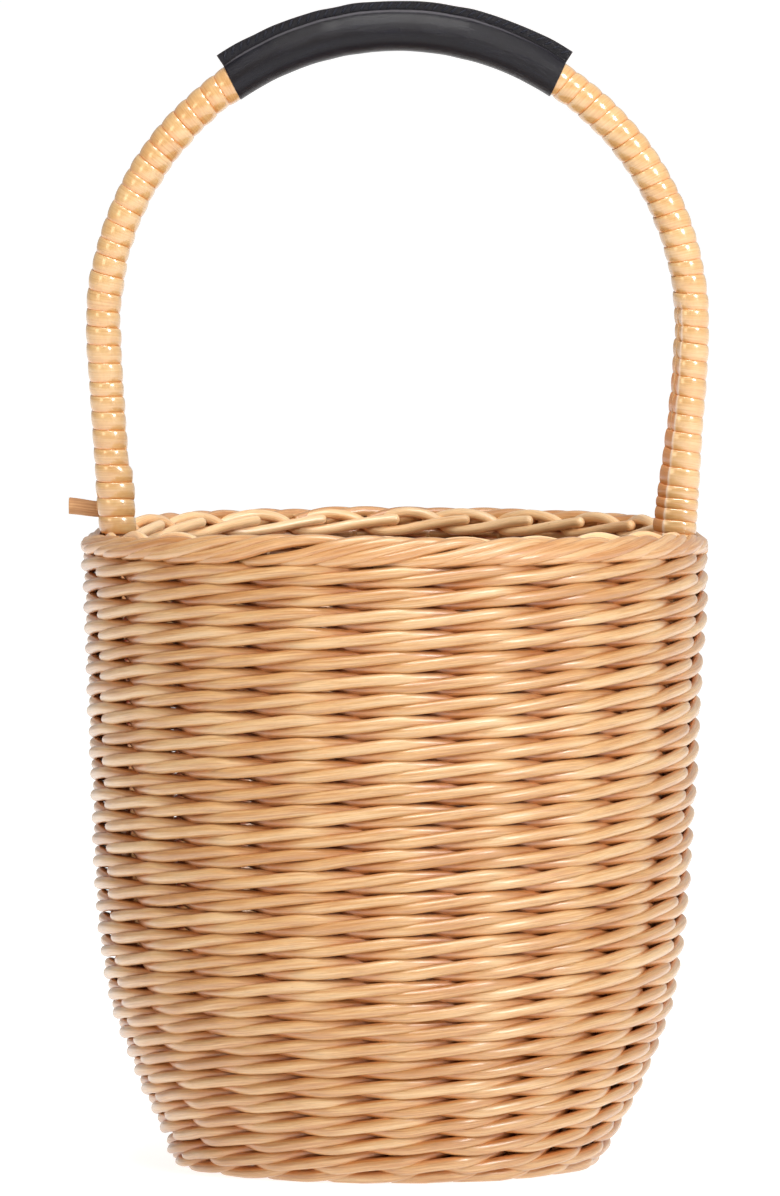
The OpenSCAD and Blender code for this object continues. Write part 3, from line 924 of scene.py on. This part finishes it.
def border():
    outer, inner, top = Build(), Build(), Build()
    zb = -0.8                       # the keys' heights start a little lower
    m = len(OUT_AT)
    for j in range(m):
        a = OUT_AT[j]
        width = 0.5 * ((OUT_AT[(j + 1) % m] - a) % 360
                       + (a - OUT_AT[j - 1]) % 360)
        for q in (0, 1):
            keys = np.array(OUT_KEYS)
            keys[:, 2] += zb + rng.normal(0, 0.12)
            keys[:, 1] += rng.normal(0, 0.1) + (0.0 if q == 0 else 0.15)
            strand(outer, a + (-1.62 + 0.4 * q) * width, width, keys, 1,
                   2.03 + rng.normal(0, 0.05), legs="out")
    # the bent stakes' lower parts run round inside the border
    for r_off, height, rad in ((0.9, 4.2, 1.9), (-1.1, 1.0, 1.75)):
        n = 181
        phi = np.linspace(0, 361, n)
        q = around(np.full(n, RB + r_off) + wander(n, 0.1, 6), phi,
                   np.full(n, BORDER_Z + height) + wander(n, 0.1, 6)
                   + 0.3 * border_sag(phi))
        # painted shade: these rods inside the border are painted dark
        outer.rod(q, around(np.ones(n), phi, np.zeros(n)), rad, 8, 1.0, 0.0,
                  0.8)
    k = len(TIPS)
    for j in range(k):
        back = (TIPS[j - 1] - TIPS[j]) % 360
        ahead = (TIPS[j] - TIPS[(j + 1) % k]) % 360
        width = (back + ahead) / 2
        a = TIPS[j] + 1.0 + 2.47 * width
        rad = 1.98 + rng.normal(0, 0.05)
        # painted light: these rods' tone is raised to lighten them as if lit from
        # above
        tone = rng.normal(1.0, 0.5)
        lift = zb + rng.normal(0, 0.1)
        keys = np.array(TOP_KEYS)
        keys[:, 2] += lift
        strand(top, a, width, keys, -1, rad, tone=tone, legs="in")
        keys = np.array(IN_KEYS)
        keys[:, 2] += lift
        strand(inner, a, width, keys, -1, rad, tone=tone,
               tips=("cut", "round"), legs="in", skip=1.0)
    outer.make("border_outer_rods", WILLOW, "willow", "border_outer_strand",
           wall=True)
    inner.make("border_inner_rods", WILLOW_PAINTED_LIGHT, "willow",
               "border_inner_plait",
           wall=True)
    top.make("border_top_rods", WILLOW_PAINTED_LIGHT, "willow", "border_top_strand",
           wall=True)


border()


# ------------------------------------------------------------------ handle
def bow_line():
    """The middle line of the bow from the left leg's foot over the crown to
    the right leg's foot, every half millimetre."""
    foot_z = TOP_Z - 5.0
    left = np.array([(-LEG_X, foot_z), (-BOW_R, BOW_Z)])
    arc = [(-BOW_R * math.cos(a), BOW_Z + BOW_R * math.sin(a))
           for a in np.linspace(0, math.pi, 181)]
    pts = np.vstack([left[:1], arc, [(LEG_X, foot_z)]])
    d = np.concatenate([[0], np.cumsum(np.linalg.norm(np.diff(
        pts, axis=0), axis=1))])
    s = np.linspace(0, d[-1], int(d[-1] / 0.5) + 1)
    line = np.column_stack([np.interp(s, d, pts[:, 0]),
                            np.interp(s, d, pts[:, 1])])
    k = np.exp(-0.5 * (np.arange(-40, 41) * 0.5 / 7.0) ** 2)
    k /= k.sum()
    pad = np.vstack([line[0] + (line[0] - line[1]) * np.arange(40, 0, -1)[:, None],
                     line, line[-1] + (line[-1] - line[-2])
                     * np.arange(1, 41)[:, None]])
    line = np.column_stack([np.convolve(pad[:, c], k, "valid")
                            for c in (0, 1)])
    line[:, 0] += BOW_X
    t = unit(np.gradient(line, axis=0))
    n = np.column_stack([-t[:, 1], t[:, 0]])
    return s, line, t, n


BS, BL, BT, BN = bow_line()
BEND = BS[-1]


def on_bow(s, psi, r):
    """Point at distance s along the bow, psi round it (0 outwards, a quarter
    turn to the front) and r from its middle line."""
    x = np.interp(s, BS, BL[:, 0])
    z = np.interp(s, BS, BL[:, 1])
    nx = np.interp(s, BS, BN[:, 0])
    nz = np.interp(s, BS, BN[:, 1])
    # beyond the ends the line goes on straight
    over = np.where(s < 0, s, np.where(s > BEND, s - BEND, 0.0))
    x = x + over * np.where(s < 0, BT[0, 0], BT[-1, 0])
    z = z + over * np.where(s < 0, BT[0, 1], BT[-1, 1])
    return np.stack([x + r * np.cos(psi) * nx, -r * np.sin(psi),
                     z + r * np.cos(psi) * nz], -1)


def s_of_angle(a):
    """Distance along the bow at angle a from the top, to the right."""
    ang = np.degrees(np.arctan2(BL[:, 0] - BOW_X, BL[:, 1] - BOW_Z))
    return float(np.interp(a, ang, BS))


SLEEVE_A, SLEEVE_B = s_of_angle(-33.6), s_of_angle(32.4)
LEATHER = leather_material()


def section(psi, flat, where, depth):
    """Radius of the lapping round the core: round, with one flat where the
    liner lies. flat from 0 to 1."""
    d = (psi - where + math.pi) % (2 * math.pi) - math.pi
    cut = depth / np.maximum(np.cos(d), 0.3)
    r = np.minimum(6.36, cut)
    return 6.36 + (r - 6.36) * flat


def lapping(name, node, s0, s1, raised, flat_at, facet):
    """One strip of peel from s0 to s1 along the bow. raised is 1 where each
    turn's edge further along the bow lies on top, -1 where the nearer does."""
    b = Build()
    total = s1 - s0
    widths = []
    while sum(widths) < total + 8:
        width = float(np.clip(rng.normal(6.3, 0.5), 5.2, 7.4))
        # the last turns at the right foot lie closer
        if raised < 0 and sum(widths) > total - 16:
            width *= 0.66
        widths.append(width)
    edges = s0 - 3.0 + np.concatenate([[0], np.cumsum(widths)])
    turns = len(widths)
    # finer where the strip bends over the liner's edges
    base = np.arange(60) / 60
    bends = []
    for d in (-25.8, 25.8):
        for e in (-2.2, -0.8, 0.8, 2.2):
            bends.append((-(flat_at + math.radians(d + e))
                          / (2 * math.pi)) % 1.0)
    turn_v = np.unique(np.round(np.concatenate([base, bends]), 5))
    per = len(turn_v)
    cols = [(0.0, -0.8), (0.0, -0.40), (0.03, -0.26), (0.12, -0.08),
            (0.28, 0.10), (0.5, 0.18), (0.72, 0.10), (0.88, -0.08),
            (0.97, -0.26), (1.0, -0.40), (1.0, -0.8)]
    f = np.array([c[0] for c in cols])
    drop = np.array([c[1] for c in cols])
    m = len(cols)
    v = (np.arange(turns - 1)[:, None] + turn_v[None, :]).ravel()
    n = len(v)                                  # v: turns from the start
    # the strip's two edges wander a little
    # most of each turn's advance is behind, so in front it lies nearly level
    ahead = v - 0.62 * np.cos(2 * math.pi * v) / (2 * math.pi)
    lo = np.interp(ahead, np.arange(turns + 1), edges)
    hi = np.interp(ahead + 1, np.arange(turns + 1), edges)
    w = wander(n, 0.16, per * 0.6)
    lo, hi = lo + w, hi + np.roll(w, -per)
    # v grows along the bow while psi falls
    psi = -v * 2 * math.pi
    s = lo[:, None] + (hi - lo)[:, None] * f[None, :]
    tilt = 0.11 * raised * (2 * f - 1)
    turn_lift = np.interp(v, np.arange(turns + 1) + 0.5,
                          rng.normal(0, 0.13, turns + 1))
    r = (section(psi[:, None] + 0 * f[None, :],
                 facet(s), flat_at, 5.72)
         + drop[None, :] + tilt[None, :] + turn_lift[:, None])
    # the liner's end lifts the left leg's inner side above the border
    if raised > 0:
        r = r + (1.25 * np.clip((27 - s) / 4, 0, 1)
                 * np.clip(-np.cos(psi[:, None]), 0, 1) ** 2)
    s = np.clip(s, s0, s1)
    co = on_bow(s, psi[:, None] + 0 * f[None, :], r)
    # the right leg grows inwards to its foot over the liner
    if raised < 0:
        co[..., 0] -= (3.2 * np.clip((s - (BEND - 53)) / 48, 0, 1)
                       * np.clip(-np.cos(psi[:, None]), 0, 1) ** 0.8)
    co = co.reshape(-1, 3)
    tones = np.interp(v, np.arange(turns + 1) + 0.5,
                      rng.normal(0, 1, turns + 1))
    gr = np.stack([v[:, None] * 40.8 + 0 * f[None, :],
                   (v[:, None] // 1) * 31.7 + 7.0 * f[None, :],
                   0 * s], -1).reshape(-1, 3)
    # painted shade: each turn's edge that tucks under the next is painted darker
    # and warmer
    deep = np.abs(2 * f - 1) ** 7
    side = raised * (2 * f - 1) < 0
    dk = np.broadcast_to(np.where(side, deep, 0.35 * deep * (drop < -0.3)),
                         (n, m))
    around_flat = np.abs((psi - flat_at + math.pi) % (2 * math.pi) - math.pi)
    # painted shade: the facet over the liner, facing away from the light, is
    # painted dark orange
    dk = dk + (0.9 * facet(s) * (around_flat[:, None] < math.radians(25))
               * np.clip((s - (BEND - 66)) / 6, 0.1, 1))
    # painted shade: the half of each turn that faces down the leg is painted a
    # warmer, darker colour
    down = f if raised < 0 else 1 - f
    dk = dk + 0.22 * np.clip(down - 0.3, 0, 1)[None, :]
    near = (psi - flat_at + math.pi) % (2 * math.pi) - math.pi
    # painted highlight: a pale line along the fold over the liner's edge
    shine = (np.exp(-((near[:, None] + math.radians(25.8)) / 0.05) ** 2)
             * facet(s))
    first = b.points(co, gr, np.repeat(tones, m), dk.reshape(-1),
                     shine.reshape(-1))
    b.grid(first, n, m, wrap=False, flip=False)
    return b.make(name, PEEL, "peel_lapping", node)


def facet_left(s):
    return 0.0 * s


def facet_right(s):
    return np.clip((s - (BEND - 88)) / 4, 0, 1)


lapping("handle_lapping_left_strip", "handle_lapping_left", -0.6,
        SLEEVE_A + 3, 1, math.radians(158), facet_left)
lapping("handle_lapping_right_strip", "handle_lapping_right",
        SLEEVE_B - 3, BEND + 1.0, -1, math.radians(154), facet_right)


def core():
    """The cane bow and its shaved tails in the wall."""
    b = Build()
    s = np.linspace(-14, BEND + 14, 260)
    mid = on_bow(s, np.zeros_like(s), np.zeros_like(s))
    tails = []
    for end in (0, 1):
        x, z = (mid[0, 0], mid[0, 2]) if end == 0 else (mid[-1, 0],
                                                         mid[-1, 2])
        sgn = -1 if end == 0 else 1
        zz = np.linspace(z - 4, BORDER_Z - 60, 18)
        rr = np.interp(s_at_z(zz), PS, PMID[:, 0])
        blend = np.clip((z - zz) / 26, 0, 1)
        xx = x + (BOW_X + sgn * (rr - 0.6) - x) * blend
        tails.append(np.column_stack([xx, 0 * xx, zz]))
    path = np.vstack([tails[0][::-1], mid, tails[1]])
    k = len(tails[0])
    rad = np.concatenate([np.linspace(2.7, 4.2, k),
                          np.full(len(mid), 4.3),
                          np.linspace(4.2, 2.7, k)])
    # painted shade: the core is painted a little darker all along
    b.rod(path, (0, -1, 0), rad, 16, 1.0, 0.3, 0.35)
    b.make("handle_core_rod", CANE, "cane_core", "handle_core")


core()


def crown_lapping():
    """Peel under the sleeve, shown only at the sleeve's ends."""
    for o in (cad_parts["handle_lapping_crown"],):
        o.data.materials.clear()
        o.data.materials.append(PEEL)
    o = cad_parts["handle_liner"]
    o.data.materials.clear()
    o.data.materials.append(CANE)


crown_lapping()


# ------------------------------------------------------------------ sleeve
LEAN = math.radians(14)
SEAM_IN, SEAM_TOP = 6.9, 11.6


def sleeve_section():
    """Outline of the leather in the plane across the bow: x to the front,
    y outwards. A sheet folded round the handle, its two edges turned up
    against each other. Returns the points and 1 where the edge is raw."""
    t = 1.15
    r_in, r_out = 5.85, 7.0
    pts, raw = [], []
    a0 = math.radians(12.0)
    # up the back face of the back edge, over the top, down the front
    outer = []
    for a in np.linspace(a0 + 0.05, 2 * math.pi - a0 - 0.05, 45):
        outer.append((r_out * math.sin(a), r_out * math.cos(a)))
    fin_h = SEAM_TOP
    w = t
    # fin's outline in its own axes, root to top, then lean it
    front = [(w * 1.9, r_out * 0.955), (w * 1.25, r_out * 1.02),
             (w * 1.03, r_out * 1.13), (w, r_out * 1.3), (w, fin_h - 0.35),
             (w * 0.86, fin_h - 0.08)]
    top = [(w * 0.55, fin_h), (w * 0.12, fin_h - 0.02), (0.0, fin_h - 0.16),
           (-w * 0.12, fin_h - 0.02), (-w * 0.55, fin_h)]
    back = [(-x, y) for x, y in front[::-1]]
    for x, y in front:
        pts.append((x, y))
        raw.append(0.0)
    for x, y in top:
        pts.append((x, y))
        raw.append(1.0)
    for x, y in back:
        pts.append((x, y))
        raw.append(0.0)
    # round the handle from the back to the front
    for x, y in outer[::-1]:
        pts.append((x, y))
        raw.append(0.0)
    pts = np.array(pts)
    # the fin leans to the front, more towards its top
    k = np.clip((pts[:, 1] - r_out * 0.9) / (fin_h - r_out * 0.9), 0, 1)
    k *= (np.abs(pts[:, 0]) < 3)
    pts[:, 0] += k * (fin_h - r_out * 0.9) * math.tan(LEAN)
    return pts, np.array(raw)


def sleeve():
    b = Build()
    sec, raw = sleeve_section()
    m = len(sec)
    n = 220
    s = np.linspace(SLEEVE_A, SLEEVE_B, n)
    wav_y = wander(n, 0.10, n / 14)
    wav_x = wander(n, 0.12, n / 12)
    slack = wander(n, 0.05, n / 22)
    ring = []
    for i in range(n):
        x, y = sec[:, 0].copy(), sec[:, 1].copy()
        # the sheet is drawn up to the seam, most in the middle of its length
        u = 2.0 * i / (n - 1) - 1
        body = np.arange(m) >= 17
        ps = np.arctan2(x, y)
        pull = (0.25 - 0.17 * u * u) * np.exp(-(ps / 0.74) ** 4) * body
        x, y = x * (1 + pull * 0.6), y * (1 + pull)
        k = np.clip((y - 6.5) / 5.0, 0, 1) * (np.abs(x) < 3.2)
        y = y + k * wav_y[i]
        x = x + k * wav_x[i]
        grow = 1 + slack[i] / 7.0
        x, y = x * grow, y * grow
        ring.append(np.column_stack([x, y]))
    ring = np.array(ring)                       # n, m, 2
    psi = np.arctan2(ring[:, :, 0], ring[:, :, 1])
    rad = np.hypot(ring[:, :, 0], ring[:, :, 1])
    # its ends are cut square, so they reach further on the inner side
    reach = np.linspace(-1, 1, n)[:, None] ** 15 * 0.9 * (1 - np.cos(psi))
    ss = s[:, None] + reach
    co = on_bow(ss, psi, rad)
    arc = np.concatenate([[0], np.cumsum(np.linalg.norm(
        np.diff(sec, axis=0), axis=1))])
    gr = np.stack([ss, np.broadcast_to(arc[None, :], psi.shape),
                   0 * ss], -1)
    # painted highlight: a pale grey line along the body next to the fin's foot
    line = np.zeros((n, m))
    line[:, -2:] = np.interp(np.linspace(-1, 1, n), [-1, -0.9, 0.3, 0.8, 1],
                             [0.3, 1, 1, 0.3, 0.1])[:, None]
    first = b.points(co.reshape(-1, 3), gr.reshape(-1, 3), 0.0,
                     line.reshape(-1),
                     np.broadcast_to(raw[None, :], (n, m)).reshape(-1))
    b.grid(first, n, m, wrap=True, flip=True)
    # ends: the sheet's raw edge, turned in to the handle
    for e, i, sgn in ((0, 0, -1), (1, n - 1, 1)):
        prev = first + i * m
        flip = e == 0
        sec_i = ring[i]
        inner_r = 5.75
        for scale_t, out in ((0.12, 0.10), (0.5, 0.16), (1.0, 0.0)):
            psi_i = np.arctan2(sec_i[:, 0], sec_i[:, 1])
            r_i = np.hypot(sec_i[:, 0], sec_i[:, 1])
            # inset towards the sheet's middle, then to its inner face
            fin = (np.abs(sec_i[:, 0] - (sec_i[:, 1] - 6.3)
                          * math.tan(LEAN)) < 2.4) & (sec_i[:, 1] > 6.0)
            r_new = r_i - (r_i - inner_r) * scale_t
            x_new = r_new * np.sin(psi_i)
            y_new = r_new * np.cos(psi_i)
            # fin points close on the fin's middle line
            mid_x = (sec_i[:, 1] - 6.3) * math.tan(LEAN)
            x_new = np.where(fin, sec_i[:, 0] + (mid_x - sec_i[:, 0])
                             * scale_t, x_new)
            y_new = np.where(fin, sec_i[:, 1] - 0.3 * scale_t, y_new)
            ps = np.arctan2(x_new, y_new)
            rr = np.hypot(x_new, y_new)
            ring_co = on_bow(ss[i] + sgn * out, ps, rr)
            g = np.column_stack([np.full(m, s[i]), arc, rr])
            nxt = b.points(ring_co, g, 0.0, 0.0, 0.9)
            a = np.arange(m)
            c = (a + 1) % m
            quad = np.stack([prev + a, prev + c, nxt + c, nxt + a], -1)
            b.quads.append(quad if e == 0 else quad[:, ::-1])
            prev = nxt
    return b.make("grip_sleeve_leather", LEATHER, "sleeve_leather",
                  "grip_sleeve")


sleeve()


def stitches():
    """Slanted stitches on both faces of the turned-up edges."""
    b = Build()
    n = 40
    s = np.linspace(SLEEVE_A + 2.2, SLEEVE_B - 2.2, n)
    for i in range(n):
        for face in (1, -1):
            # along the seam by 2 mm over its rise, the other way behind
            du = np.linspace(-1, 1, 7)
            rise = 9.95 + du * 0.95 + rng.normal(0, 0.06)
            along = s[i] + face * du * 0.85 + rng.normal(0, 0.08)
            x = (rise - 6.3) * math.tan(LEAN) + face * (
                1.2 + 0.28 * (1 - du ** 2) ** 0.5)
            x = np.where(np.abs(du) > 0.98, (rise - 6.3) * math.tan(LEAN)
                         + face * 0.9, x)
            psi, r = np.arctan2(x, rise), np.hypot(x, rise)
            p = on_bow(along, psi, r)
            b.rod(p, (0, -face, 0.2), 0.36, 8, 1.0, rng.normal(0, 1), 0.0,
                  ends=("round", "round"))
    b.make("grip_stitch_threads", THREAD, "sleeve_thread", "grip_stitches")


stitches()


# --------------------------------------------------------------------- peg
def peg():
    b = Build()
    lo, hi = box("handle_peg")
    x0, x1 = lo[0] + 0.3, hi[0] - 0.3
    y = (lo[1] + hi[1]) / 2
    n = 24
    x = np.linspace(x0, x1, n)
    r = (hi[1] - lo[1]) / 2
    # the rod slopes down inwards as far as its box is taller than it is thick
    fall = (hi[2] - lo[2]) - 2 * r
    z = np.linspace(hi[2] - r, hi[2] - r - fall, n)
    p = np.column_stack([x, np.full(n, y) + wander(n, 0.08, 6),
                         z + wander(n, 0.1, 6)])

    def shape(th, k):
        facets = 1 - 0.035 * np.cos(5 * th + 0.6) - 0.02 * np.cos(3 * th)
        return np.broadcast_to(facets, (k, len(th)))

    b.rod(p, (0, 0, 1), np.linspace(r * 0.97, r * 0.86, n), 24, 1.0, 0.0, 0.0,
          shape=shape, lean=(0.08, 0.0))
    b.make("handle_peg_rod", PEG, "cane_core", "handle_peg")


peg()

# ------------------------------------------------------- floor, light, camera
floor_mesh = bpy.data.meshes.new("floor")
floor_mesh.from_pydata([(-150, -150, 0), (150, -150, 0), (150, 150, 0),
                        (-150, 150, 0)], [], [(0, 1, 2, 3)])
floor = bpy.data.objects.new("floor", floor_mesh)
floor.location.z = -0.00005
bpy.context.scene.collection.objects.link(floor)
f = Nodes("floor_paper")
f.set(Base_Color=(0.5, 0.5, 0.5, 1), Roughness=0.9,
      Emission_Color=(1, 1, 1, 1), Emission_Strength=0.83,
      Specular_IOR_Level=0.0)
floor_mesh.materials.append(f.mat)

world = bpy.data.worlds.new("studio")
bpy.context.scene.world = world
world.use_nodes = True
bg = world.node_tree.nodes.get("Background") or world.node_tree.nodes.new(
    "ShaderNodeBackground")
wt = world.node_tree
coord = wt.nodes.new("ShaderNodeTexCoord")
split = wt.nodes.new("ShaderNodeSeparateXYZ")
fade = wt.nodes.new("ShaderNodeMapRange")
fade.inputs["From Min"].default_value = -1.0
fade.inputs["From Max"].default_value = 0.6
fade.inputs["To Min"].default_value = 0.28
fade.inputs["To Max"].default_value = 0.62
wt.links.new(coord.outputs["Generated"], split.inputs[0])
wt.links.new(split.outputs["Y"], fade.inputs["Value"])
side = wt.nodes.new("ShaderNodeMapRange")
side.inputs["From Min"].default_value = -1.0
side.inputs["From Max"].default_value = 0.3
side.inputs["To Min"].default_value = 0.45
side.inputs["To Max"].default_value = 1.0
both = wt.nodes.new("ShaderNodeMath")
both.operation = "MULTIPLY"
wt.links.new(split.outputs["X"], side.inputs["Value"])
wt.links.new(fade.outputs["Result"], both.inputs[0])
wt.links.new(side.outputs["Result"], both.inputs[1])
wt.links.new(both.outputs[0], bg.inputs["Strength"])
bg.inputs["Color"].default_value = (1.0, 0.985, 0.96, 1)


def area(name, place, aim, size, power, color=(1, 1, 1)):
    lamp = bpy.data.lights.new(name, "AREA")
    lamp.shape = "RECTANGLE"
    lamp.size, lamp.size_y = size
    lamp.energy = power
    lamp.color = color
    obj = bpy.data.objects.new(name, lamp)
    obj.location = place
    obj.rotation_euler = (Vector(aim) - Vector(place)).to_track_quat(
        "-Z", "Y").to_euler()
    bpy.context.scene.collection.objects.link(obj)
    return obj


area("key", (1.5, -1.8, 1.45), (0, 0, 0.2), (0.6, 0.75), 29.6,
     (1.0, 0.985, 0.96))
area("spot", (1.64, -1.82, 1.2), (0, 0, 0.28), (0.4, 0.55), 9,
     (1.0, 0.985, 0.96))
area("fill", (-1.7, -1.9, 1.0), (0, 0, 0.1), (0.9, 0.9), 10,
     (1.0, 0.78, 0.54))
area("top", (0.0, -1.05, 2.4), (0, 0, 0.22), (1.0, 0.8), 34.5,
     (1.0, 0.985, 0.96))

cam_data = bpy.data.cameras.new("camera")
cam = bpy.data.objects.new("camera", cam_data)
bpy.context.scene.collection.objects.link(cam)
cam.location = (-0.0015, -4.52, 0.467)
aim = Vector((-0.0015, 0.0, 0.2101))
cam.rotation_euler = (aim - cam.location).to_track_quat("-Z", "Y").to_euler()
cam_data.sensor_fit = "AUTO"
cam_data.sensor_width = 36
cam_data.lens = 368.3
cam_data.clip_end = 500
bpy.context.scene.camera = cam
bpy.context.scene.view_settings.view_transform = "Standard"
bpy.context.scene.view_settings.look = "None"
